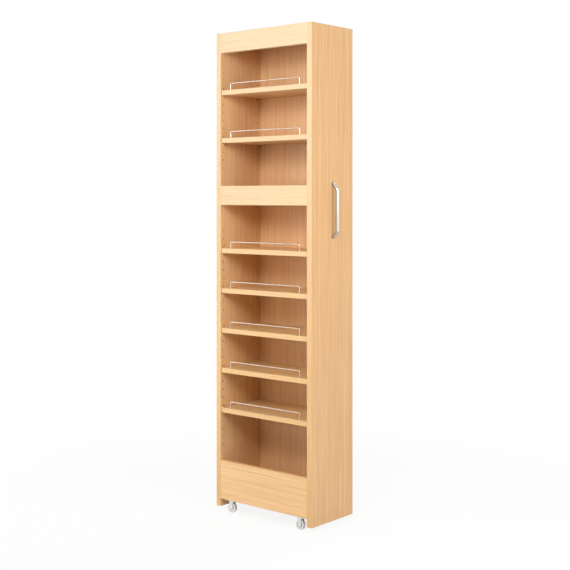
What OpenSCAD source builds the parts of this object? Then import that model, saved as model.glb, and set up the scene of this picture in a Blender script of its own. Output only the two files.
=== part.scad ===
// Slim rolling shelf cart for a narrow gap: two tall end panels joined by fixed boards and
// aprons, a thin back panel, loose shelves on pins with wire rails, and four fixed casters.
// The open side faces -X, the handle end faces -Y, and Z is zero at the floor.

/* [Carcass] */
// Width of the cart, from the open side to the closed side
cart_w = 200; // [180:5:260]
// Depth of the cart, from the handle end to the far end
cart_d = 385; // [340:5:480]
// Height of the end panels
panel_h = 1484; // [1450:2:1560]
// Thickness of the end panels
end_t = 18; // [16:1:22]
// Thickness of the fixed boards at the top, middle and bottom
board_t = 15; // [14:1:18]
// How far the end panels reach below the bottom board
skirt = 24; // [18:1:28]
// Radius of the eased long edges of every board
ease_r = 0.8; // [0.4:0.1:1.2]

/* [Aprons] */
// Thickness of the three aprons
apron_t = 15; // [13:1:18]
// Height of the top apron
top_apron_h = 62; // [50:1:70]
// Height of the middle apron
middle_apron_h = 60; // [50:1:75]
// Height of the bottom apron
bottom_apron_h = 120; // [90:1:135]
// Share of the free height between the loose shelves next to the middle board that is below it
middle_ratio = 0.41; // [0.35:0.01:0.5]

/* [Back panel] */
// Thickness of the back panel
back_t = 3; // [2.5:0.5:4]
// Distance from the closed side to the outer face of the back panel
back_inset = 10.4; // [8:0.2:14]
// Depth of the grooves that hold the back panel
groove_depth = 5; // [3:0.5:7]
// Play of the back panel in its grooves, on every side
groove_play = 0.2; // [0.1:0.05:0.3]

/* [Loose shelves] */
// Thickness of the loose shelves
shelf_t = 15; // [14:1:18]
// Distance from the open side to the front edge of the loose shelves
shelf_setback = 3; // [1:0.5:6]
// Gap between a loose shelf and each end panel
shelf_side_gap = 1; // [0.6:0.1:2]
// Gap between a loose shelf and the back panel
shelf_back_gap = 1; // [0.6:0.1:3]
// Number of loose shelves above the middle board
upper_shelves = 2; // [1:1:2]
// Number of loose shelves below the middle board
lower_shelves = 5; // [2:1:5]
// Underside of the highest loose shelf below the end panels' upper edge
upper_drop_h = 194; // [185:1:210]
// Underside of the lowest loose shelf above the end panels' lower edge
lower_rest_h = 294.5; // [270:0.5:320]
// Holes from one upper shelf to the next
upper_step_count = 6; // [4:1:6]
// Holes from one lower shelf to the next
lower_step_count = 5; // [4:1:5]

/* [Shelf pins] */
// Distance between neighbouring pin holes
hole_pitch = 25; // [22:0.5:25]
// Distance from the open side to the front row of pin holes
pin_front = 13; // [10:0.5:20]
// Distance from the open side to the rear row of pin holes
pin_rear = 173; // [150:1:175]
// Depth of the pin holes
pin_hole_depth = 10; // [8:0.5:12]
// Diameter of the pins' shank
pin_d = 5; // [4:0.5:6]
// Diameter of the pins' head, on which a shelf rests
pin_head_d = 7; // [6.5:0.5:9]
// Length of the pins' head
pin_head_l = 8; // [6:0.5:10]
// Unused holes below the lowest shelf of the lower section
lower_below_count = 4; // [2:1:4]
// Unused holes above the highest shelf of the lower section
lower_above_count = 3; // [2:1:3]
// Unused holes below the lowest shelf of the upper section
upper_below_count = 3; // [2:1:3]
// Unused holes above the highest shelf of the upper section
upper_above_count = 3; // [2:1:3]

/* [Wire rails] */
// Diameter of the rail wire
rail_d = 3; // [2.5:0.5:5]
// Height of the rail above its shelf
rail_h = 22; // [18:0.5:35]
// Distance between the two legs of a rail
rail_pitch = 280; // [240:1:300]
// Distance from the open side to the middle of the rail wire
rail_inset = 9; // [9:0.5:14]
// Radius of the wire's bends, at its middle
rail_bend_r = 4; // [3.5:0.5:10]
// Depth of the holes that hold the rail's legs
rail_hole_depth = 9; // [6:0.5:11]

/* [Handle] */
// Diameter of the handle's rod
handle_d = 10.5; // [8:0.5:12]
// Distance between the two screws of the handle
handle_pitch = 160; // [128:1:180]
// Middle of the handle above the end panels' lower edge
handle_z = 930; // [900:1:960]
// Distance from the end panel to the middle of the rod
handle_out = 17.5; // [16:0.5:30]
// Straight foot of the handle before its first bend
handle_foot = 5; // [4.5:0.5:8]
// Height over which each leg of the handle slants
handle_lean = 16; // [12:0.5:20]
// Radius of the handle's bends, at the middle of the rod
handle_bend_r = 8; // [6:0.5:9]
// Diameter of the handle screws
handle_screw_d = 4; // [3:0.5:4]
// How far a handle screw reaches into the rod
handle_screw_bite = 6; // [4:0.5:6.5]

/* [Casters] */
// Diameter of the wheels
wheel_d = 30; // [26:1:32]
// Width of the wheels' tread
wheel_w = 12; // [10:0.5:15]
// Height from the floor to the top of the casters
caster_h = 40; // [38:1:46]
// Distance from the side of the cart to the middle of a wheel
caster_side = 16.5; // [14:0.5:17]
// Distance from the end of the cart to the axle
caster_end = 54; // [50:1:60]
// Thickness of the casters' sheet metal
sheet_t = 1.5; // [1.2:0.1:2]
// Width of a fork leg
leg_w = 14; // [12:0.5:16]
// Length of a caster's plate
plate_l = 42; // [40:1:46]
// Width of a caster's plate
plate_w = 26; // [25:0.5:28]
// Diameter of the casters' axle rivet
axle_d = 5; // [4:0.5:6]
// Radial clearance of a wheel on its axle
axle_play = 0.05; // [0.02:0.01:0.1]
// Gap between a wheel's hub and each fork leg
hub_gap = 0.3; // [0.2:0.05:0.5]
// Diameter of the caster screws
caster_screw_d = 3.5; // [3:0.5:4]
// Length of the caster screws under their head
caster_screw_l = 13; // [10:0.5:14]

/* [Joinery] */
// Diameter of the dowels between the fixed boards and the end panels
board_dowel_d = 8; // [6:0.5:8]
// Diameter of the dowels at the aprons
apron_dowel_d = 6; // [5:0.5:8]
// Diameter of the cam housings
cam_d = 15; // [12:0.5:16]
// Distance from the end of a board to the middle of its cam housing
cam_reach = 24; // [20:1:30]
// Diameter of the cam bolts' thread
cam_thread_d = 5; // [4:0.5:6]
// Diameter of the cam bolts' shank
cam_shank_d = 6; // [5:0.5:6.5]
// Radial clearance of a fixed fastener in its hole
fit_play = 0.05; // [0.02:0.01:0.1]

/* [Hidden] */
$fn = 48;

// Fixed small sizes of the fittings
eps = 0.01;
seat_gap = 0.3;
bend_lap = 2;
bend_swell = 0.1;
pin_bottom_gap = 1;
dowel_in_panel = 11;
board_dowel_in_board = 17;
apron_dowel_in_apron = 13;
apron_dowel_in_board = 13;
apron_face_bite = 9;
dowel_end_gap = 0.5;
apron_dowel_rise = 15;
apron_dowel_inset = 90;
board_dowel_u = [35, 160];
cam_u = [65, 130];
cam_cover = 2.5;
cam_thread_l = 10;
cam_head_l = 4;
cam_channel_play = 0.5;
cam_neck_step = 1;
cam_cross_w = 1.6;
cam_cross_l = 9;
cam_cross_depth = 2;
screw_head_t = 2.4;
screw_head_ratio = 2;
screw_cross_w = 0.9;
screw_cross_depth = 1;
handle_hole_play = 0.25;
caster_hole_play = 0.35;
caster_screw_head_d = 6.5;
caster_screw_head_t = 1.8;
caster_screw_along = 16;
caster_screw_across = 8.5;
plate_corner_r = 4;
fold_r = 2.5;
leg_flare = 3;
leg_flare_h = 6;
rivet_head_t = 1.2;
rivet_head_over = 1.5;
tread_r = 2;
hub_d = 11;
rim_t = 4;
web_recess = 2.5;

// Places along X, measured from the open side
x_open = -cart_w / 2;
x_closed = cart_w / 2;
x_board = x_open + apron_t;
x_back = x_closed - back_inset - back_t;

// Places along Y, with the handle's reach taken into the middle of the whole cart
handle_reach = handle_out + handle_d / 2;
y_front = (handle_reach - cart_d) / 2;
y_rear = y_front + cart_d;
y_in0 = y_front + end_t;
y_in1 = y_rear - end_t;
inner_l = y_in1 - y_in0;
y_mid = (y_front + y_rear) / 2;

// Places along Z
z_panel = caster_h - skirt;
z_top = z_panel + panel_h;
z_top_board = z_top - board_t;
z_bottom_board = caster_h;
z_top_apron = z_top - top_apron_h;
z_handle = z_panel + handle_z;
handle_screw_z = [z_handle - handle_pitch / 2, z_handle + handle_pitch / 2];
handle_screw_head_d = handle_screw_d * screw_head_ratio;

// Shelves are numbered from the top
shelf_count = upper_shelves + lower_shelves;
upper_rise = upper_step_count * hole_pitch;
lower_rise = lower_step_count * hole_pitch;
function shelf_z(i) =
    i <= upper_shelves
    ? z_top - upper_drop_h - (i - 1) * upper_rise
    : z_panel + lower_rest_h + (shelf_count - i) * lower_rise;
function pin_z(i) = shelf_z(i) - seat_gap - pin_head_d / 2;

// The middle board lies between the highest lower shelf and the lowest upper one
z_lower_shelves = shelf_z(upper_shelves + 1) + shelf_t;
z_middle_board = z_lower_shelves + middle_ratio * (shelf_z(upper_shelves) - z_lower_shelves);

x_shelf = x_open + shelf_setback;
shelf_w = x_back - shelf_back_gap - x_shelf;
shelf_l = inner_l - 2 * shelf_side_gap;

// Heights of every pin hole, in steps from the pins of the lowest shelf of each section
upper_holes = [
    for (k = [-upper_below_count : (upper_shelves - 1) * upper_step_count + upper_above_count])
        pin_z(upper_shelves) + k * hole_pitch
];
lower_holes = [
    for (k = [-lower_below_count : (lower_shelves - 1) * lower_step_count + lower_above_count])
        pin_z(shelf_count) + k * hole_pitch
];
pin_x = [x_open + pin_front, x_open + pin_rear];

// Casters: wheel middles, and the two sides and two ends that they stand at
caster_names = ["front_open", "rear_open", "front_closed", "rear_closed"];
caster_at = [
    [x_open + caster_side, y_front + caster_end],
    [x_open + caster_side, y_rear - caster_end],
    [x_closed - caster_side, y_front + caster_end],
    [x_closed - caster_side, y_rear - caster_end]
];
caster_screw_at = [
    for (c = caster_at)
        for (sx = [-1, 1])
            for (sy = [-1, 1])
                [c[0] + sx * caster_screw_across, c[1] + sy * caster_screw_along]
];
caster_pilot_depth = caster_screw_l - sheet_t + dowel_end_gap;
z_plate = caster_h - sheet_t;
axle_z = wheel_d / 2;
hub_w = wheel_w + 2 * eps;
fork_in = hub_w + 2 * hub_gap;
fork_out = fork_in + 2 * sheet_t;

// Fixed boards and aprons from the bottom up: undersides of the boards, undersides and heights
// of the aprons
at_bottom = 0;
at_middle = 1;
at_top = 2;
board_base = [z_bottom_board, z_middle_board, z_top_board];
apron_base = [z_bottom_board, z_middle_board, z_top_apron];
apron_high = [bottom_apron_h, middle_apron_h, top_apron_h];
cam_x = [for (u = cam_u) x_open + u];
board_dowel_x = [for (u = board_dowel_u) x_open + u];
apron_dowel_y = [y_in0 + apron_dowel_inset, y_mid, y_in1 - apron_dowel_inset];
apron_dowel_x = x_open + apron_t / 2;
cam_l = board_t - cam_cover;
shank_l = cam_reach - cam_head_l / 2;

wood = "#E9C088";
wood_light = "#F6DDB0";
wood_inner = "#C99866";
zinc = "#C9CCCF";
chrome = "#DDE1E6";
nylon = "#EDEFF0";
beech_dowel = "#D9B37A";

// A rectangle with round corners, from the origin
module eased_rect(w, h, r) {
    translate([r, 0]) square([w - 2 * r, h]);
    translate([0, r]) square([w, h - 2 * r]);
    for (x = [r, w - r])
        for (y = [r, h - r])
            translate([x, y]) circle(r = r);
}

// A board that lies or stands between the end panels, with its long edges along Y eased
module cross_board(x, y, z, w, l, h) {
    translate([x, y + l, z])
        rotate([90, 0, 0])
            linear_extrude(l) eased_rect(w, h, ease_r);
}

// A round bar or bore along X, Y or Z, from the given point towards the positive end
module bar_x(p, d, l) {
    translate(p) rotate([0, 90, 0]) cylinder(d = d, h = l);
}
module bar_y(p, d, l) {
    translate(p) rotate([-90, 0, 0]) cylinder(d = d, h = l);
}
module bar_z(p, d, l) {
    translate(p) cylinder(d = d, h = l);
}

// A bent rod in the XY plane: straight lengths between the points and a true bend at each.
// A bend is a hair thicker than the rod and laps its straight lengths by a small angle.
function unit(v) = v / norm(v);
function turn(a, b) = atan2(a[0] * b[1] - a[1] * b[0], a * b);
function heading(pts, i) = unit(pts[i + 1] - pts[i]);
function bend_cut(pts, i, r) =
    i == 0 || i == len(pts) - 1
    ? 0
    : r * tan(abs(turn(heading(pts, i - 1), heading(pts, i))) / 2);
module rod_straight(pts, i, d, r) {
    way = heading(pts, i);
    start = pts[i] + way * bend_cut(pts, i, r);
    finish = pts[i + 1] - way * bend_cut(pts, i + 1, r);
    translate([start[0], start[1], 0])
        rotate([0, 0, atan2(way[1], way[0])])
            rotate([0, 90, 0]) cylinder(d = d, h = norm(finish - start));
}
module rod_bend(pts, i, d, r) {
    way = heading(pts, i - 1);
    angle = turn(way, heading(pts, i));
    side = sign(angle);
    start = pts[i] - way * bend_cut(pts, i, r);
    centre = start + side * r * [-way[1], way[0]];
    translate([centre[0], centre[1], 0])
        rotate([0, 0, atan2(way[1], way[0]) - side * (90 + bend_lap)])
            rotate_extrude(angle = angle + side * 2 * bend_lap)
                translate([r, 0]) circle(d = d + bend_swell);
}
module bent_rod(pts, d, r) {
    last = len(pts) - 1;
    for (i = [0 : last - 1]) rod_straight(pts, i, d, r);
    for (i = [1 : last - 1]) rod_bend(pts, i, d, r);
}

// Holes in the inner face of an end panel: face is the Y of that face, side is 1 on the
// panel at the handle end, where the holes run towards -Y, and -1 on the far one
module panel_hole(x, z, d, depth, face, side) {
    y0 = side > 0 ? face - depth : face - eps;
    bar_y([x, y0, z], d, depth + eps);
}
module panel_bores(face, side) {
    for (x = pin_x)
        for (z = concat(upper_holes, lower_holes))
            panel_hole(x, z, pin_d + 2 * fit_play, pin_hole_depth, face, side);
    for (z = board_base) {
        for (x = cam_x)
            panel_hole(x, z + board_t / 2, cam_thread_d + 2 * fit_play,
                cam_thread_l + dowel_end_gap, face, side);
        for (x = board_dowel_x)
            panel_hole(x, z + board_t / 2, board_dowel_d + 2 * fit_play,
                dowel_in_panel + dowel_end_gap, face, side);
    }
    for (k = [0 : len(apron_base) - 1])
        for (z = apron_dowel_heights(k))
            panel_hole(apron_dowel_x, z, apron_dowel_d + 2 * fit_play,
                dowel_in_panel + dowel_end_gap, face, side);
}
function apron_dowel_heights(k) =
    [apron_base[k] + apron_dowel_rise, apron_base[k] + apron_high[k] - apron_dowel_rise];

// The space that the back panel takes, grown by the given play on every side
module back_space(play) {
    z0 = z_bottom_board + board_t - groove_depth + groove_play;
    z1 = z_top_board + groove_depth - groove_play;
    y0 = y_in0 - groove_depth + groove_play;
    y1 = y_in1 + groove_depth - groove_play;
    translate([x_back - play, y0 - play, z0 - play])
        cube([back_t + 2 * play, y1 - y0 + 2 * play, z1 - z0 + 2 * play]);
}

module end_panel_blank(y) {
    translate([x_open, y, z_panel])
        linear_extrude(panel_h) eased_rect(cart_w, end_t, ease_r);
}

module front_end_panel() {
    color(wood)
        difference() {
            end_panel_blank(y_front);
            panel_bores(y_in0, 1);
            back_space(groove_play);
            for (z = handle_screw_z) {
                bar_y([0, y_front - eps, z], handle_screw_d + 2 * handle_hole_play, end_t);
                bar_y([0, y_in0 - screw_head_t, z], handle_screw_head_d + 2 * handle_hole_play,
                    screw_head_t + eps);
            }
        }
}

module rear_end_panel() {
    color(wood)
        difference() {
            end_panel_blank(y_in1);
            panel_bores(y_in1, -1);
            back_space(groove_play);
        }
}

// Bores in the two ends and the underside of a fixed board, for its dowels and cams
module board_bores(z) {
    mid = z + board_t / 2;
    for (x = board_dowel_x)
        for (y = [y_in0 - eps, y_in1 - board_dowel_in_board - dowel_end_gap])
            bar_y([x, y, mid], board_dowel_d + 2 * fit_play,
                board_dowel_in_board + dowel_end_gap + eps);
    for (x = cam_x) {
        for (y = [y_in0 + cam_reach, y_in1 - cam_reach])
            bar_z([x, y, z - eps], cam_d + 2 * fit_play, cam_l + 2 * eps);
        for (y = [y_in0 - eps, y_in1 - cam_reach])
            bar_y([x, y, mid], cam_shank_d + 2 * cam_channel_play, cam_reach + eps);
    }
    for (y = apron_dowel_y)
        bar_x([x_board - eps, y, mid], apron_dowel_d + 2 * fit_play,
            apron_dowel_in_board + dowel_end_gap + eps);
}

module fixed_board(z, x_end) {
    difference() {
        cross_board(x_board, y_in0, z, x_end - x_board, inner_l, board_t);
        board_bores(z);
        back_space(groove_play);
    }
}

module top_board() {
    color(wood) fixed_board(board_base[at_top], x_closed);
}

module middle_board() {
    color(wood) fixed_board(board_base[at_middle], x_back - seat_gap);
}

module caster_pilots() {
    for (p = caster_screw_at)
        bar_z([p[0], p[1], z_bottom_board - eps], caster_screw_d + 2 * fit_play,
            caster_pilot_depth + eps);
}

module bottom_board() {
    color(wood)
        difference() {
            fixed_board(board_base[at_bottom], x_closed);
            caster_pilots();
        }
}

// An apron, with bores for the dowels at its ends and behind it
module apron(k) {
    difference() {
        cross_board(x_open, y_in0, apron_base[k], apron_t, inner_l, apron_high[k]);
        for (z = apron_dowel_heights(k))
            for (y = [y_in0 - eps, y_in1 - apron_dowel_in_apron - dowel_end_gap])
                bar_y([apron_dowel_x, y, z], apron_dowel_d + 2 * fit_play,
                    apron_dowel_in_apron + dowel_end_gap + eps);
        for (y = apron_dowel_y)
            bar_x([x_board - apron_face_bite - dowel_end_gap, y, board_base[k] + board_t / 2],
                apron_dowel_d + 2 * fit_play, apron_face_bite + dowel_end_gap + eps);
    }
}

module top_apron() {
    color(wood_light) apron(at_top);
}

module middle_apron() {
    color(wood_light) apron(at_middle);
}

module bottom_apron() {
    color(wood_light)
        difference() {
            apron(at_bottom);
            caster_pilots();
        }
}

module back_panel() {
    color(wood_inner) back_space(0);
}

// A loose shelf with the two blind holes for its rail
module shelf(i) {
    color(wood_light)
        difference() {
            cross_board(x_shelf, y_in0 + shelf_side_gap, shelf_z(i), shelf_w, shelf_l, shelf_t);
            for (side = [-1, 1])
                bar_z([x_open + rail_inset, y_mid + side * rail_pitch / 2,
                    shelf_z(i) + shelf_t - rail_hole_depth],
                    rail_d + 2 * fit_play, rail_hole_depth + eps);
        }
}

// A wire rail: one bent wire whose legs stand in the shelf's holes
module rail(i) {
    half = rail_pitch / 2;
    foot = dowel_end_gap - rail_hole_depth;
    crown = rail_h - rail_d / 2;
    path = [[-half, foot], [-half, crown], [half, crown], [half, foot]];
    color(chrome)
        translate([x_open + rail_inset, y_mid, shelf_z(i) + shelf_t])
            rotate([90, 0, 90]) bent_rod(path, rail_d, rail_bend_r);
}

// The four pins of one shelf: a shank in each end panel and a head that carries the shelf
module pins_of_shelf(i) {
    shank = pin_hole_depth - pin_bottom_gap;
    for (x = pin_x)
        for (side = [-1, 1]) {
            face = side < 0 ? y_in0 : y_in1;
            translate([x, face, pin_z(i)])
                rotate([side * 90, 0, 0]) {
                    cylinder(d = pin_head_d, h = pin_head_l);
                    translate([0, 0, -shank]) cylinder(d = pin_d, h = shank + eps);
                }
        }
}

module upper_shelf_pins() {
    color(zinc) for (i = [1 : upper_shelves]) pins_of_shelf(i);
}

module lower_shelf_pins() {
    color(zinc) for (i = [upper_shelves + 1 : shelf_count]) pins_of_shelf(i);
}

// The handle: one bent rod with two slanted legs, bored at its feet for the screws
module handle() {
    half = handle_pitch / 2;
    path = [
        [0, half],
        [-handle_foot, half],
        [-handle_out, half - handle_lean],
        [-handle_out, handle_lean - half],
        [-handle_foot, -half],
        [0, -half]
    ];
    color(chrome)
        difference() {
            translate([0, y_front, z_handle])
                rotate([90, 0, 90]) bent_rod(path, handle_d, handle_bend_r);
            for (z = handle_screw_z)
                bar_y([0, y_front - handle_screw_bite - dowel_end_gap, z],
                    handle_screw_d + 2 * fit_play, handle_screw_bite + dowel_end_gap + eps);
        }
}

// The two screws that hold the handle, with their heads sunk flush in the front end panel
module handle_screws() {
    seat = y_in0 - screw_head_t;
    tip = y_front - handle_screw_bite;
    color(zinc)
        for (z = handle_screw_z)
            difference() {
                union() {
                    bar_y([0, tip, z], handle_screw_d, seat - tip + eps);
                    bar_y([0, seat, z], handle_screw_head_d, screw_head_t);
                }
                for (turned = [0, 90])
                    translate([0, y_in0, z])
                        rotate([0, turned, 0])
                            cube([handle_screw_head_d / 2, 2 * screw_cross_depth, screw_cross_w],
                                center = true);
            }
}

module board_dowels() {
    l = dowel_in_panel + board_dowel_in_board;
    color(beech_dowel)
        for (z = board_base)
            for (x = board_dowel_x)
                for (y = [y_in0 - dowel_in_panel, y_in1 - board_dowel_in_board])
                    bar_y([x, y, z + board_t / 2], board_dowel_d, l);
}

// Dowels at the aprons: into the end panels, and into the boards behind them
module apron_dowels() {
    end_l = dowel_in_panel + apron_dowel_in_apron;
    color(beech_dowel)
        for (k = [0 : len(apron_base) - 1]) {
            for (z = apron_dowel_heights(k))
                for (y = [y_in0 - dowel_in_panel, y_in1 - apron_dowel_in_apron])
                    bar_y([apron_dowel_x, y, z], apron_dowel_d, end_l);
            for (y = apron_dowel_y)
                bar_x([x_board - apron_face_bite, y, board_base[k] + board_t / 2],
                    apron_dowel_d, apron_face_bite + apron_dowel_in_board);
        }
}

// One cam bolt from the inner face of an end panel towards +Z, head last
module cam_bolt() {
    neck_d = cam_thread_d - cam_neck_step;
    translate([0, 0, -cam_thread_l]) cylinder(d = cam_thread_d, h = cam_thread_l + eps);
    cylinder(d = cam_shank_d, h = shank_l - cam_head_l);
    translate([0, 0, shank_l - cam_head_l - eps]) cylinder(d = neck_d, h = cam_head_l + 2 * eps);
    translate([0, 0, shank_l]) cylinder(d1 = neck_d, d2 = cam_shank_d, h = cam_head_l / 2);
}

module cam_bolts() {
    color(zinc)
        for (z = board_base)
            for (x = cam_x)
                for (side = [-1, 1])
                    translate([x, side < 0 ? y_in0 : y_in1, z + board_t / 2])
                        rotate([side * 90, 0, 0]) cam_bolt();
}

// One cam housing, open towards its bolt and with a cross slot in its lower face
module cam_lock(side) {
    difference() {
        cylinder(d = cam_d, h = cam_l);
        translate([0, 0, board_t / 2])
            rotate([side * -90, 0, 0])
                cylinder(d = cam_shank_d + 2 * cam_channel_play, h = cam_d);
        translate([0, 0, board_t / 2])
            rotate([side * 90, 0, 0])
                cylinder(d = cam_shank_d + 2 * cam_channel_play, h = cam_head_l);
        for (turned = [0, 90])
            rotate([0, 0, turned])
                cube([cam_cross_l, cam_cross_w, 2 * cam_cross_depth], center = true);
    }
}

module cam_locks() {
    color(zinc)
        for (z = board_base)
            for (x = cam_x)
                for (side = [-1, 1])
                    translate([x, side < 0 ? y_in0 + cam_reach : y_in1 - cam_reach, z])
                        cam_lock(side);
}

// Outline of a fork leg, seen along the axle: flared at the plate and round at the axle
module leg_outline() {
    half = leg_w / 2;
    flare_z = z_plate - leg_flare_h;
    translate([0, axle_z]) circle(d = leg_w);
    polygon([
        [-half, axle_z],
        [half, axle_z],
        [half, flare_z],
        [half + leg_flare, caster_h],
        [-half - leg_flare, caster_h],
        [-half, flare_z]
    ]);
}

// Section of the folded fork: two legs and the web between them, round at the folds
module fork_section() {
    inner_r = fold_r - sheet_t;
    difference() {
        folded_outline(fork_out, caster_h, fold_r);
        folded_outline(fork_in, z_plate, max(inner_r, eps));
    }
}
module folded_outline(w, top, r) {
    translate([-w / 2, -eps]) square([w, top - r + eps]);
    translate([r - w / 2, 0]) square([w - 2 * r, top]);
    for (side = [-1, 1])
        translate([side * (w / 2 - r), top - r]) circle(r = r);
}

// A fixed caster's bracket: a plate with a fork folded down from it
module caster_bracket(k) {
    span = leg_w + 2 * leg_flare;
    color(zinc)
        translate([caster_at[k][0], caster_at[k][1], 0])
            difference() {
                union() {
                    intersection() {
                        translate([0, span / 2, 0])
                            rotate([90, 0, 0]) linear_extrude(span) fork_section();
                        translate([-fork_out / 2, 0, 0])
                            rotate([90, 0, 90]) linear_extrude(fork_out) leg_outline();
                    }
                    translate([-plate_w / 2, -plate_l / 2, z_plate])
                        linear_extrude(sheet_t) eased_rect(plate_w, plate_l, plate_corner_r);
                }
                bar_x([-fork_out, 0, axle_z], axle_d + 2 * fit_play, 2 * fork_out);
                for (sx = [-1, 1])
                    for (sy = [-1, 1])
                        bar_z([sx * caster_screw_across, sy * caster_screw_along, z_plate - eps],
                            caster_screw_d + 2 * caster_hole_play, sheet_t + 2 * eps);
            }
}

// A nylon wheel: round-shouldered tread, recessed webs and a hub as wide as the fork allows
module wheel_profile() {
    r = wheel_d / 2;
    bore = axle_d / 2 + axle_play;
    half_hub = hub_w / 2;
    half = wheel_w / 2;
    web = half - web_recess;
    difference() {
        union() {
            translate([bore, -half_hub]) square([hub_d / 2 - bore, hub_w]);
            translate([bore, -web]) square([r - tread_r - bore, 2 * web]);
            translate([r - rim_t, -half]) square([rim_t - tread_r, wheel_w]);
            translate([r - tread_r - eps, tread_r - half]) square([tread_r + eps, wheel_w - 2 * tread_r]);
            for (side = [-1, 1])
                translate([r - tread_r, side * (half - tread_r)]) circle(r = tread_r);
        }
        translate([0, -wheel_w]) square([bore, 2 * wheel_w]);
    }
}
module caster_wheel(k) {
    color(nylon)
        translate([caster_at[k][0], caster_at[k][1], axle_z])
            rotate([0, 90, 0]) rotate_extrude($fn = 96) wheel_profile();
}

// The axle: a rivet whose two heads bear on the outside of the fork
module caster_axle(k) {
    head_d = axle_d + 2 * rivet_head_over;
    color(zinc)
        translate([caster_at[k][0] - fork_out / 2, caster_at[k][1], axle_z]) {
            bar_x([-eps, 0, 0], axle_d, fork_out + 2 * eps);
            for (x = [-rivet_head_t, fork_out]) bar_x([x, 0, 0], head_d, rivet_head_t);
        }
}

module caster_screws() {
    color(zinc)
        for (p = caster_screw_at)
            translate([p[0], p[1], z_plate]) {
                cylinder(d = caster_screw_d, h = caster_screw_l);
                translate([0, 0, -caster_screw_head_t])
                    cylinder(d1 = caster_screw_d, d2 = caster_screw_head_d,
                        h = caster_screw_head_t);
            }
}

front_end_panel();
rear_end_panel();
top_board();
top_apron();
middle_board();
middle_apron();
bottom_board();
bottom_apron();
back_panel();
for (i = [1 : shelf_count]) {
    shelf(i);
    rail(i);
}
upper_shelf_pins();
lower_shelf_pins();
handle();
handle_screws();
board_dowels();
apron_dowels();
cam_bolts();
cam_locks();
for (k = [0 : len(caster_names) - 1]) {
    caster_bracket(k);
    caster_wheel(k);
    caster_axle(k);
}
caster_screws();
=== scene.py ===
"""Looks of the slim rolling shelf cart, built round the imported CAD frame."""
import math

import bpy
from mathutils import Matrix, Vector


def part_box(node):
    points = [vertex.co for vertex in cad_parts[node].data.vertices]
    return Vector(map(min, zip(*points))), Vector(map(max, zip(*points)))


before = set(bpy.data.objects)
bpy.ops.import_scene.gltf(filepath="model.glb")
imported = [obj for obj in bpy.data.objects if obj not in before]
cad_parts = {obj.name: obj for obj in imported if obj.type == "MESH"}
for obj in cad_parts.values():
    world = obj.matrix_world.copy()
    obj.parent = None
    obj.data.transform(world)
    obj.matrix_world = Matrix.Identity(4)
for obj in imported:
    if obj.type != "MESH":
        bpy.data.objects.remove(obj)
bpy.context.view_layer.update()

BIG_FACE = 0.7          # a normal's part along an axis above which a face looks that way
MOST_OF_NOISE = (0.3, 0.7)              # what nearly all of a noise lies between
X, Y, Z = range(3)
MIX_SOCKETS = {"RGBA": (6, 7, 2), "VECTOR": (4, 5, 1)}      # a Mix node's A, B and result

# Camera: level, with the vertical shift of the photograph's crop
FRAME_PX = 570
FOCAL_PX = 1108.23
SENSOR_MM = 36.0
CAMERA_AT = (-2.6224, -2.22035, 0.9830)
CAMERA_HEADING = math.radians(40.328)
HORIZON_ROW = 198.1
CAMERA_REACH = 60.0     # how far the camera sees

# Wood tones, linear. The pieces are of one laminate, and their tones were set piece by piece to
# how bright each looks in its light, so their differences are partly painted light and shade.
# The aprons turn paler towards the top: painted sheen.
TONE_NEAR_END = (0.768, 0.467, 0.227)
TONE_FAR_END = (0.757, 0.483, 0.254)
TONE_BOARD = (0.800, 0.510, 0.262)
TONE_UPPER_SHELF = (0.760, 0.500, 0.260)
TONE_LOWER_SHELF = (0.850, 0.595, 0.310)
TONE_TOP_APRON = (0.800, 0.622, 0.395)
TONE_MIDDLE_APRON = (0.820, 0.605, 0.355)
TONE_BOTTOM_APRON = (0.945, 0.612, 0.310)
TONE_BACK = (0.850, 0.550, 0.300)
TONE_DOWEL = (0.700, 0.480, 0.270)
UPPER_SHELF_LIGHTNESS = (1.00, 0.99)
LOWER_SHELF_LIGHTNESS = (1.06, 1.01, 1.02, 1.01, 0.99)

# Edge tape of the boards' long edges
TAPE_T = 0.0010         # thickness of the tape
TAPE_LOW = (0.850, 0.508, 0.208)        # the tape's tone low on the cart
TAPE_HIGH_SHEEN = (0.790, 0.582, 0.338)       # and high on it, where it is paler with painted sheen
TAPE_SHEEN_FADE = (0.45, 1.25)                # heights between which one turns into the other, as painted sheen
TAPE_COVER = 0.80       # how far the tape's own tone hides the wood's figure
SEAM_W = 0.00022        # reach of the line where the tape meets a face, to either side
SEAM_CORE = 0.4         # share of that reach with the line at its darkest
SEAM_DEPTH = 0.5        # how far the line hides the wood

# The wood's figure
SEED_STEP = (1.37, 2.11, 3.73)          # each piece takes its figure from another place
SEED_START = (0.0, 0.4, 0.0)
SWAY_SCALE = (9.0, 9.0, 3.1)            # a scale is in cells per metre: across, across, along
SWAY = (0.006, 0.006, 0.0)              # how far the slow sway moves the figure
BAND_SCALE = (160.0, 160.0, 1.1)
BAND_MEAN = 1.03        # the bands' middle lightness
BAND_STEP = 0.045       # and their step to either side, times BAND_WARMTH in red, green, blue
BAND_WARMTH = (1.0, 1.5, 2.2)
BAND_SHARE = 0.85       # how much of its own contrast the bands' noise keeps
STRIPE_SHARE = 0.10     # how much the even stripes add to either side of it
STRIPE_PITCH = 0.0175   # mean distance between the stripes
STRIPE_WANDER = 7.0     # how far noise moves them, as an angle
WANDER_SCALE = (30.0, 30.0, 0.9)
STREAK_SCALE = (330.0, 330.0, 4.6)
STREAK_RANGE = (0.43, 0.70)             # a range is the noise values where a layer sets in
STREAK_DEPTH = 0.3      # how far the streaks hide the bands in a piece without grain
STREAK_GAIN = 0.6       # and what a grain of 1 adds to that
FIBRE_SCALE = (1150.0, 1150.0, 13.0)
FIBRE_RANGE = (0.36, 0.70)
FIBRE_DEPTH = 0.34
PORE_SCALE = (1500.0, 1500.0, 75.0)
PORE_RANGE = (0.63, 0.74)
PORE_DEPTH = 0.45
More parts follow.
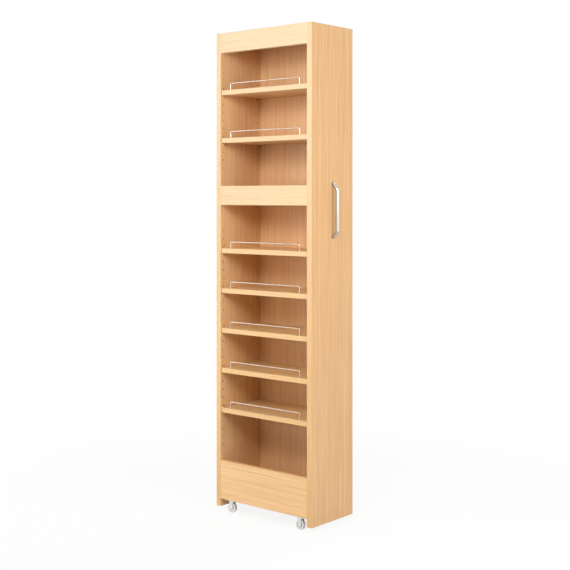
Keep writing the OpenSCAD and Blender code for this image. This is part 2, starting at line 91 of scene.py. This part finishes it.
PATCH_SCALE = (95.0, 95.0, 2.3)         # the pores come in patches
PATCH_RANGE = (0.42, 0.66)
DEEP_SHARE = (0.86, 0.79, 0.70)         # the streaks' tone against the piece's
FIBRE_SHADE = 1.02      # tones of fibres, pores and seam line against the streaks' tone
PORE_SHADE = 0.72
SEAM_SHADE = 0.6

# The wood's surface
SMUDGE_SCALE = (7.0, 7.0, 5.0)
WOOD_ROUGH = (0.34, 0.41)
STREAK_ROUGH = 0.05     # what the streaks add to the roughness
STREAK_ROUGH_RANGE = (0.4, 0.8)
FIBRE_RELIEF = 0.35     # height of the fibres against the depth of the pores
WOOD_RELIEF = 0.00008
SOFT_EDGE = 0.0004      # radius of the rounding that the shading gives each edge

# Metal
METAL_RELIEF = 0.00003
WIPE_SCALE = (260.0, 260.0, 60.0)
WIPE_RANGE = (0.12, 0.42)
HAZE_SCALE = (35.0, 35.0, 35.0)
MOTTLE_SCALE = (420.0, 420.0, 420.0)
MOTTLE_ROUGH = (0.24, 0.34)
SCRATCH_SCALE = (2600.0, 300.0, 2600.0)
SCRATCH_RANGE = (0.58, 0.75)
SCRATCH_ROUGH = 0.10    # what the scratches add to the roughness

# Nylon
NYLON_TONES = (0.86, 0.86, 0.85), (0.91, 0.91, 0.90)
NYLON_ROUGH = (0.33, 0.42)
NYLON_RELIEF = 0.00005
NYLON_SPREAD = (0.003, 0.003, 0.003)    # subsurface radius, before the shader's own scale
CLOUD_SCALE = (90.0, 90.0, 90.0)
MOULD_SCALE = (1900.0, 1900.0, 1900.0)
SCUFF_SCALE = (900.0, 260.0, 260.0)
SCUFF_RANGE = (0.45, 0.75)
SCUFF_TONE = (0.50, 0.49, 0.47)
SCUFF_COVER = 0.35
SCUFF_ROUGH = 0.2       # what the scuffs add to the roughness
TREAD_DEPTHS = (0.0012, 0.0002)         # depths under the tread between which scuffs set in


# Node helpers
def new_tree(name):
    """A material with an empty node tree."""
    mat = bpy.data.materials.new(name)
    mat.use_nodes = True
    mat.node_tree.nodes.clear()
    return mat, mat.node_tree


def feed(tree, socket, value):
    """Links a socket or sets its own value."""
    if isinstance(value, bpy.types.NodeSocket):
        tree.links.new(value, socket)
    else:
        socket.default_value = value


def put(tree, kind, settings=None, **inputs):
    """A node of that kind; an input's spaces are written as underscores."""
    made = tree.nodes.new("ShaderNode" + kind)
    for key, value in (settings or {}).items():
        setattr(made, key, value)
    for key, value in inputs.items():
        feed(tree, made.inputs[key.replace("_", " ")], value)
    return made


def maths(tree, kind, operation, values):
    """The outputs of a maths node that takes the values in order."""
    made = put(tree, kind, {"operation": operation})
    for socket, value in zip(made.inputs, values):
        feed(tree, socket, value)
    return made.outputs


def calc(tree, operation, *values):
    """The result of a maths node."""
    return maths(tree, "Math", operation, values)[0]


def vector_calc(tree, operation, *values):
    """The result of a vector maths node."""
    return maths(tree, "VectorMath", operation, values)[0]


def spread(tree, value, low, high, to_low=0.0, to_high=1.0, kind="LINEAR"):
    """Maps a value from one range to another, clamped."""
    return put(tree, "MapRange", {"interpolation_type": kind}, Value=value, From_Min=low,
               From_Max=high, To_Min=to_low, To_Max=to_high).outputs[0]


def blend(tree, kind, factor, a, b):
    """Two colours or two vectors mixed by a factor."""
    made = put(tree, "Mix", {"data_type": kind}, Factor=factor)
    first, second, result = MIX_SOCKETS[kind]
    feed(tree, made.inputs[first], a)
    feed(tree, made.inputs[second], b)
    return made.outputs[result]


def blend_colour(tree, factor, *colours):
    """Two colours mixed by a factor, each a socket or a tone."""
    sides = [colour if isinstance(colour, bpy.types.NodeSocket) else (*colour, 1.0)
             for colour in colours]
    return blend(tree, "RGBA", factor, *sides)


def mix_shaders(tree, factor, first, second):
    """One shader where the factor is 0 and the other where it is 1."""
    both = put(tree, "MixShader")
    feed(tree, both.inputs[0], factor)
    feed(tree, both.inputs[1], first.outputs[0])
    feed(tree, both.inputs[2], second.outputs[0])
    return both


def noise(tree, vector, scale, detail=2.0, rough=0.5):
    """A noise texture's value at coordinates stretched by the scale's three parts."""
    at = vector_calc(tree, "MULTIPLY", vector, scale)
    return put(tree, "TexNoise", Vector=at, Scale=1.0, Detail=detail,
               Roughness=rough).outputs["Fac"]


def end_in(tree, shader, output="OutputMaterial"):
    """Ends a tree in its shader."""
    tree.links.new(shader.outputs[0], put(tree, output).inputs["Surface"])


def shade(tone, factor):
    """A tone made lighter or darker."""
    return tuple(channel * factor for channel in tone)


# Wood
def grain_coordinates(tree, along, seed):
    """Object coordinates whose Z runs along the grain, moved by the piece's seed. A face that
    looks along the grain is edge tape, whose own grain runs across the board."""
    source = put(tree, "TexCoord")
    part = put(tree, "SeparateXYZ", Vector=source.outputs["Object"]).outputs
    facing = put(tree, "SeparateXYZ", Vector=source.outputs["Normal"]).outputs
    order = [(along + step) % 3 for step in (1, 2, 3)]
    turned = [order[1], order[2], order[0]]
    spaces = [
        put(tree, "CombineXYZ", X=part[o[0]], Y=part[o[1]], Z=part[o[2]]).outputs[0]
        for o in (order, turned)
    ]
    end_face = calc(tree, "GREATER_THAN", calc(tree, "ABSOLUTE", facing[along]), BIG_FACE)
    space = blend(tree, "VECTOR", end_face, *spaces)
    offset = [step * seed + start for step, start in zip(SEED_STEP, SEED_START)]
    return vector_calc(tree, "ADD", space, offset), part, facing


def tape_seam(tree, part, facing, face_axis, edge_axis, lo, hi):
    """A fine line on the big faces where the tape of the long edges begins."""
    middle = (lo[edge_axis] + hi[edge_axis]) / 2
    reach = (hi[edge_axis] - lo[edge_axis]) / 2 - TAPE_T
    away = calc(tree, "ABSOLUTE", calc(tree, "SUBTRACT", part[edge_axis], middle))
    off = calc(tree, "ABSOLUTE", calc(tree, "SUBTRACT", away, reach))
    line = spread(tree, off, SEAM_W * SEAM_CORE, SEAM_W, 1.0, 0.0)
    on_face = calc(tree, "GREATER_THAN", calc(tree, "ABSOLUTE", facing[face_axis]), BIG_FACE)
    return calc(tree, "MULTIPLY", line, on_face)


def stripes(tree, at):
    """Nearly even stripes along the grain, moved to and fro by noise."""
    place = put(tree, "SeparateXYZ", Vector=at).outputs
    across = calc(tree, "ADD", place[X], place[Y])
    turn = calc(tree, "MULTIPLY", across, 2 * math.pi / STRIPE_PITCH)
    wander = calc(tree, "MULTIPLY", noise(tree, at, WANDER_SCALE, detail=1.0), STRIPE_WANDER)
    return calc(tree, "SINE", calc(tree, "ADD", turn, wander))


def figure(tree, at):
    """The wood's layers as values: striped bands, streaks, fibres, and pores in patches."""
    bands = spread(tree, noise(tree, at, BAND_SCALE, detail=1.0), 0.0, 1.0,
                   (1 - BAND_SHARE) / 2, (1 + BAND_SHARE) / 2)
    bands = calc(tree, "ADD", bands, calc(tree, "MULTIPLY", stripes(tree, at), STRIPE_SHARE))
    streaks = noise(tree, at, STREAK_SCALE, rough=0.6)
    fibres = noise(tree, at, FIBRE_SCALE, rough=0.6)
    pores = spread(tree, noise(tree, at, PORE_SCALE, detail=1.0), *PORE_RANGE)
    patches = spread(tree, noise(tree, at, PATCH_SCALE, detail=1.0), *PATCH_RANGE)
    return bands, streaks, fibres, calc(tree, "MULTIPLY", pores, patches)


def wood(name, tone, grain, along, seed, lo, hi, face_axis, edge_axis):
    """Straight-grained pale wood with edge tape, where an axis for taped edges is given."""
    mat, tree = new_tree(name)
    at, part, facing = grain_coordinates(tree, along, seed)
    sway = put(tree, "TexNoise", Vector=vector_calc(tree, "MULTIPLY", at, SWAY_SCALE),
               Scale=1.0, Detail=1.0).outputs["Color"]
    sway = vector_calc(tree, "SUBTRACT", sway, (0.5, 0.5, 0.5))
    at = vector_calc(tree, "ADD", at, vector_calc(tree, "MULTIPLY", sway, SWAY))
    bands, streaks, fibres, pores = figure(tree, at)

    pale, base = [
        tuple(channel * (BAND_MEAN + side * BAND_STEP * grain * warmth)
              for channel, warmth in zip(tone, BAND_WARMTH))
        for side in (1, -1)
    ]
    deep = tuple(channel * share for channel, share in zip(tone, DEEP_SHARE))
    colour = blend_colour(tree, spread(tree, bands, *MOST_OF_NOISE), base, pale)
    lines = calc(tree, "MULTIPLY", spread(tree, streaks, *STREAK_RANGE),
                 min(1.0, STREAK_DEPTH + STREAK_GAIN * grain))
    colour = blend_colour(tree, lines, colour, deep)
    fine = spread(tree, fibres, *FIBRE_RANGE, 0.0, FIBRE_DEPTH)
    colour = blend_colour(tree, fine, colour, shade(deep, FIBRE_SHADE))
    dots = calc(tree, "MULTIPLY", pores, PORE_DEPTH)
    colour = blend_colour(tree, dots, colour, shade(deep, PORE_SHADE))

    if edge_axis is not None:
        tape = calc(tree, "GREATER_THAN",
                    calc(tree, "ABSOLUTE", facing[edge_axis]), BIG_FACE)
        # the tape's own tone, turning paler towards the top: painted sheen
        tape_tone_and_sheen = blend_colour(tree, spread(tree, part[Z], *TAPE_SHEEN_FADE), TAPE_LOW, TAPE_HIGH_SHEEN)
        colour = blend_colour(tree, calc(tree, "MULTIPLY", tape, TAPE_COVER), colour, tape_tone_and_sheen)
        seam = tape_seam(tree, part, facing, face_axis, edge_axis, lo, hi)
        colour = blend_colour(tree, calc(tree, "MULTIPLY", seam, SEAM_DEPTH), colour,
                              shade(deep, SEAM_SHADE))

    smudge = noise(tree, at, SMUDGE_SCALE, detail=3.0, rough=0.6)
    rough = calc(tree, "ADD", spread(tree, smudge, *MOST_OF_NOISE, *WOOD_ROUGH),
                 spread(tree, streaks, *STREAK_ROUGH_RANGE, 0.0, STREAK_ROUGH))
    height = calc(tree, "SUBTRACT", calc(tree, "MULTIPLY", fibres, FIBRE_RELIEF), pores)
    rounded = put(tree, "Bevel", {"samples": 4}, Radius=SOFT_EDGE).outputs[0]
    bump = put(tree, "Bump", Strength=0.22, Distance=WOOD_RELIEF, Height=height,
               Normal=rounded).outputs[0]
    end_in(tree, put(tree, "BsdfPrincipled", Base_Color=colour, Roughness=rough, Normal=bump))
    return mat


# Metal and plastic
def metal(tree, tint, rough, height, bump_strength):
    """Ends a tree in a metal with a fine relief."""
    bump = put(tree, "Bump", Strength=bump_strength, Distance=METAL_RELIEF,
               Height=height).outputs[0]
    end_in(tree, put(tree, "BsdfPrincipled", Base_Color=tint, Metallic=1.0, Roughness=rough,
                     Normal=bump))


def chrome(name, dull, bright, rough_range):
    """Bright plating with faint wipe marks."""
    mat, tree = new_tree(name)
    at = put(tree, "TexCoord").outputs["Object"]
    marks = noise(tree, at, WIPE_SCALE, detail=4.0, rough=0.6)
    haze = noise(tree, at, HAZE_SCALE)
    wiped = calc(tree, "MULTIPLY", marks, haze)
    tint = blend_colour(tree, haze, dull, bright)
    rough = spread(tree, wiped, *WIPE_RANGE, *rough_range)
    metal(tree, tint, rough, marks, bump_strength=0.05)
    return mat


def plating(name, dull, bright):
    """Plated steel fittings: soft shine, faint mottling and fine scratches."""
    mat, tree = new_tree(name)
    at = put(tree, "TexCoord").outputs["Object"]
    mottle = noise(tree, at, MOTTLE_SCALE, detail=3.0, rough=0.6)
    scratches = spread(tree, noise(tree, at, SCRATCH_SCALE), *SCRATCH_RANGE)
    tint = blend_colour(tree, spread(tree, mottle, *MOST_OF_NOISE), dull, bright)
    rough = calc(tree, "ADD", spread(tree, mottle, *MOST_OF_NOISE, *MOTTLE_ROUGH),
                 calc(tree, "MULTIPLY", scratches, SCRATCH_ROUGH))
    metal(tree, tint, rough, scratches, bump_strength=0.12)
    return mat


def nylon(name, middle, tread_r):
    """Moulded off-white wheel: fine mould grain and a faintly scuffed tread."""
    mat, tree = new_tree(name)
    at = put(tree, "TexCoord").outputs["Object"]
    part = put(tree, "SeparateXYZ",
               Vector=vector_calc(tree, "SUBTRACT", at, middle)).outputs
    away = calc(tree, "SQRT", calc(tree, "ADD", calc(tree, "MULTIPLY", part[Y], part[Y]),
                                   calc(tree, "MULTIPLY", part[Z], part[Z])))
    on_tread = spread(tree, away, *[tread_r - depth for depth in TREAD_DEPTHS])
    marks = noise(tree, at, SCUFF_SCALE, detail=3.0, rough=0.65)
    scuff = calc(tree, "MULTIPLY", spread(tree, marks, *SCUFF_RANGE), on_tread)
    cloud = noise(tree, at, CLOUD_SCALE)
    colour = blend_colour(tree, cloud, *NYLON_TONES)
    colour = blend_colour(tree, calc(tree, "MULTIPLY", scuff, SCUFF_COVER), colour, SCUFF_TONE)
    rough = calc(tree, "ADD", spread(tree, cloud, *MOST_OF_NOISE, *NYLON_ROUGH),
                 calc(tree, "MULTIPLY", scuff, SCUFF_ROUGH))
    bump = put(tree, "Bump", Strength=0.12, Distance=NYLON_RELIEF,
               Height=noise(tree, at, MOULD_SCALE)).outputs[0]
    end_in(tree, put(tree, "BsdfPrincipled", Base_Color=colour, Roughness=rough, Normal=bump,
                     Subsurface_Weight=0.12, Subsurface_Radius=NYLON_SPREAD))
    return mat


# Materials on the CAD nodes
WOOD_NODES = {
    # node: tone, grain strength, grain axis, axis of the big faces, axis of the taped edges
    "front_end_panel": (TONE_NEAR_END, 1.1, Z, Y, X),
    "rear_end_panel": (TONE_FAR_END, 1.2, Z, Y, X),
    "top_board": (TONE_BOARD, 1.0, Y, Z, X),
    "middle_board": (TONE_BOARD, 1.0, Y, Z, X),
    "bottom_board": (TONE_BOARD, 1.0, Y, Z, X),
    # the aprons' tones turn paler towards the top: painted sheen
    "top_apron": (TONE_TOP_APRON, 0.35, Y, X, Z),
    "middle_apron": (TONE_MIDDLE_APRON, 0.6, Y, X, Z),
    "bottom_apron": (TONE_BOTTOM_APRON, 1.0, Y, X, Z),
    "back_panel": (TONE_BACK, 1.0, Z, None, None),
    "board_dowels": (TONE_DOWEL, 1.0, Y, None, None),
    "apron_dowels": (TONE_DOWEL, 1.0, Y, None, None),
}
# the shelves' tones differ by piece partly as painted light and shade
SHELF_TONES = [shade(TONE_UPPER_SHELF, factor) for factor in UPPER_SHELF_LIGHTNESS]
SHELF_TONES += [shade(TONE_LOWER_SHELF, factor) for factor in LOWER_SHELF_LIGHTNESS]
for number, tone in enumerate(SHELF_TONES, 1):
    WOOD_NODES[f"shelf_{number}"] = (tone, 1.0, Y, Z, X)


def dress(node, mat):
    """Gives a CAD node its material."""
    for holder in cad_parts[node].material_slots:
        holder.material = mat


for seed, (node, row) in enumerate(WOOD_NODES.items(), 1):
    tone, grain, along, face_axis, edge_axis = row
    lo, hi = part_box(node)
    dress(node, wood("wood_" + node, tone, grain, along, seed, lo, hi, face_axis, edge_axis))

rail_chrome = chrome("rail_plating", dull=(0.50, 0.44, 0.38), bright=(0.58, 0.52, 0.46),
                     rough_range=(0.20, 0.32))
handle_chrome = chrome("handle_plating", dull=(0.44, 0.415, 0.38), bright=(0.50, 0.475, 0.44),
                       rough_range=(0.06, 0.10))
fitting_zinc = plating("zinc_plating", dull=(0.61, 0.640, 0.625), bright=(0.73, 0.760, 0.745))
pin_bronze = plating("pin_plating", dull=(0.62, 0.52, 0.40), bright=(0.76, 0.66, 0.54))
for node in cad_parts:
    if node.startswith("rail_"):
        dress(node, rail_chrome)
    elif node == "handle":
        dress(node, handle_chrome)
    elif node.startswith("caster_wheel_"):
        lo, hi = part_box(node)
        dress(node, nylon("nylon_" + node, (lo + hi) / 2, (hi.z - lo.z) / 2))
    elif node.endswith("shelf_pins"):
        dress(node, pin_bronze)
    elif node not in WOOD_NODES:
        dress(node, fitting_zinc)


# Stage, light and camera
PLAIN_WHITE = (1.0, 1.0, 1.0, 1.0)
FLOOR_HALF = 14.0       # half the floor's side
FLOOR_TONE = (0.84, 0.84, 0.84, 1.0)
FLOOR_WHITE = 0.88      # share of plain white in what the camera sees of the floor
FLOOR_FADE = (0.75, 1.60)               # distances from the cart's middle where it turns white
WORLD_LEVEL = 0.0       # what matt surfaces get from the world, as the lamps light them


def background_rays(tree):
    """1 for camera, glossy and transmission rays, which see the plain white background."""
    path = put(tree, "LightPath").outputs
    seen = calc(tree, "MAXIMUM", path["Is Camera Ray"], path["Is Glossy Ray"])
    return calc(tree, "MAXIMUM", seen, path["Is Transmission Ray"])


def floor_material():
    """Matt pale floor that holds the shadow near the cart and is plain white further off."""
    mat, tree = new_tree("studio_floor")
    at = put(tree, "TexCoord").outputs["Object"]
    level = vector_calc(tree, "MULTIPLY", at, (1.0, 1.0, 0.0))
    away = maths(tree, "VectorMath", "LENGTH", [level])["Value"]
    white_part = spread(tree, away, *FLOOR_FADE, FLOOR_WHITE, 1.0, kind="SMOOTHSTEP")
    matt = put(tree, "BsdfDiffuse", Color=FLOOR_TONE, Roughness=0.5)
    white = put(tree, "Emission", Strength=1.0)
    seen_white = calc(tree, "MULTIPLY", white_part, background_rays(tree))
    end_in(tree, mix_shaders(tree, seen_white, matt, white))
    return mat


def make_floor():
    """The studio floor, one sheet at the wheels' foot."""
    mesh = bpy.data.meshes.new("studio_floor")
    corners = [(-1, -1), (1, -1), (1, 1), (-1, 1)]
    mesh.from_pydata([(x * FLOOR_HALF, y * FLOOR_HALF, 0.0) for x, y in corners], [],
                     [(0, 1, 2, 3)])
    mesh.materials.append(floor_material())
    sheet = bpy.data.objects.new("studio_floor", mesh)
    bpy.context.scene.collection.objects.link(sheet)


def make_world():
    """Plain white for the rays that see the background, and WORLD_LEVEL for all others."""
    world = bpy.data.worlds.new("studio")
    bpy.context.scene.world = world
    world.use_nodes = True
    tree = world.node_tree
    tree.nodes.clear()
    soft = put(tree, "Background", Color=PLAIN_WHITE, Strength=WORLD_LEVEL)
    white = put(tree, "Background", Color=PLAIN_WHITE, Strength=1.0)
    both = mix_shaders(tree, background_rays(tree), soft, white)
    end_in(tree, both, "OutputWorld")


def make_light(name, at, aim, size, radiance):
    """A rectangular soft box at a point, turned to another, with a given radiance."""
    lamp = bpy.data.lights.new(name, "AREA")
    lamp.shape = "RECTANGLE"
    lamp.size, lamp.size_y = size
    lamp.energy = radiance * math.pi * size[0] * size[1]
    holder = bpy.data.objects.new(name, lamp)
    holder.location = at
    holder.rotation_euler = (Vector(aim) - Vector(at)).to_track_quat("-Z", "Y").to_euler()
    holder.visible_camera = False
    bpy.context.scene.collection.objects.link(holder)


LIGHTS = {
    # name: place, aim, size, radiance. The last three light what the photograph doesn't show.
    "handle_end_lamp": ((-0.20, -2.60, 1.40), (0.0, -0.2, 0.9), (1.0, 1.0), 2.86),
    "handle_end_low_lamp": ((0.15, -2.40, 1.00), (0.0, -0.2, 0.8), (1.8, 1.0), 2.33),
    "near_side_lamp": ((-0.70, -2.50, 1.30), (0.0, -0.1, 0.9), (0.6, 0.6), 12.90),
    "near_high_lamp": ((-1.20, -1.60, 1.80), (0.0, 0.0, 1.0), (0.4, 0.4), 5.47),
    "camera_lamp": ((-1.80, -1.30, 1.80), (0.0, 0.0, 1.0), (0.5, 0.5), 15.80),
    "open_side_lamp": ((-1.90, -0.60, 1.60), (0.0, 0.0, 1.2), (0.6, 0.6), 5.92),
    "open_side_near_lamp": ((-1.30, -0.30, 1.45), (0.0, 0.0, 1.2), (0.5, 0.5), 4.07),
    "open_side_box": ((-2.60, 0.60, 0.90), (0.0, 0.0, 0.8), (0.9, 0.9), 3.18),
    "left_box": ((-2.30, 1.95, 1.05), (0.0, 0.0, 1.0), (0.7, 0.6), 2.99),
    "left_high_box": ((-2.30, 1.95, 1.90), (0.0, 0.0, 1.2), (0.7, 0.9), 2.93),
    "left_lamp": ((-0.90, 1.30, 1.30), (0.0, 0.0, 1.1), (0.5, 0.5), 2.50),
    "left_low_lamp": ((-1.20, 1.60, 0.25), (0.0, 0.0, 0.3), (0.6, 0.6), 5.20),
    "overhead_box": ((-0.40, 0.0, 3.30), (0.0, 0.0, 1.0), (2.4, 2.4), 1.20),
    "top_box": ((0.90, 0.0, 3.00), (0.0, 0.0, 1.5), (1.2, 1.2), 3.30),
    "closed_side_box": ((2.30, 0.40, 1.50), (0.0, 0.0, 0.8), (1.6, 1.6), 2.80),
    "far_end_box": ((0.30, 2.50, 1.80), (0.0, 0.2, 0.8), (1.6, 1.4), 2.60),
}
for name, row in LIGHTS.items():
    make_light(name, *row)
make_world()
make_floor()

camera = bpy.data.cameras.new("photo_camera")
camera.sensor_fit = "HORIZONTAL"
camera.sensor_width = SENSOR_MM
camera.lens = FOCAL_PX / FRAME_PX * SENSOR_MM
camera.shift_y = (HORIZON_ROW - FRAME_PX / 2) / FRAME_PX
camera.clip_end = CAMERA_REACH
eye = bpy.data.objects.new("photo_camera", camera)
eye.location = CAMERA_AT
eye.rotation_euler = (math.pi / 2, 0.0, CAMERA_HEADING - math.pi / 2)
bpy.context.scene.collection.objects.link(eye)
bpy.context.scene.camera = eye
bpy.context.scene.view_settings.view_transform = "Standard"
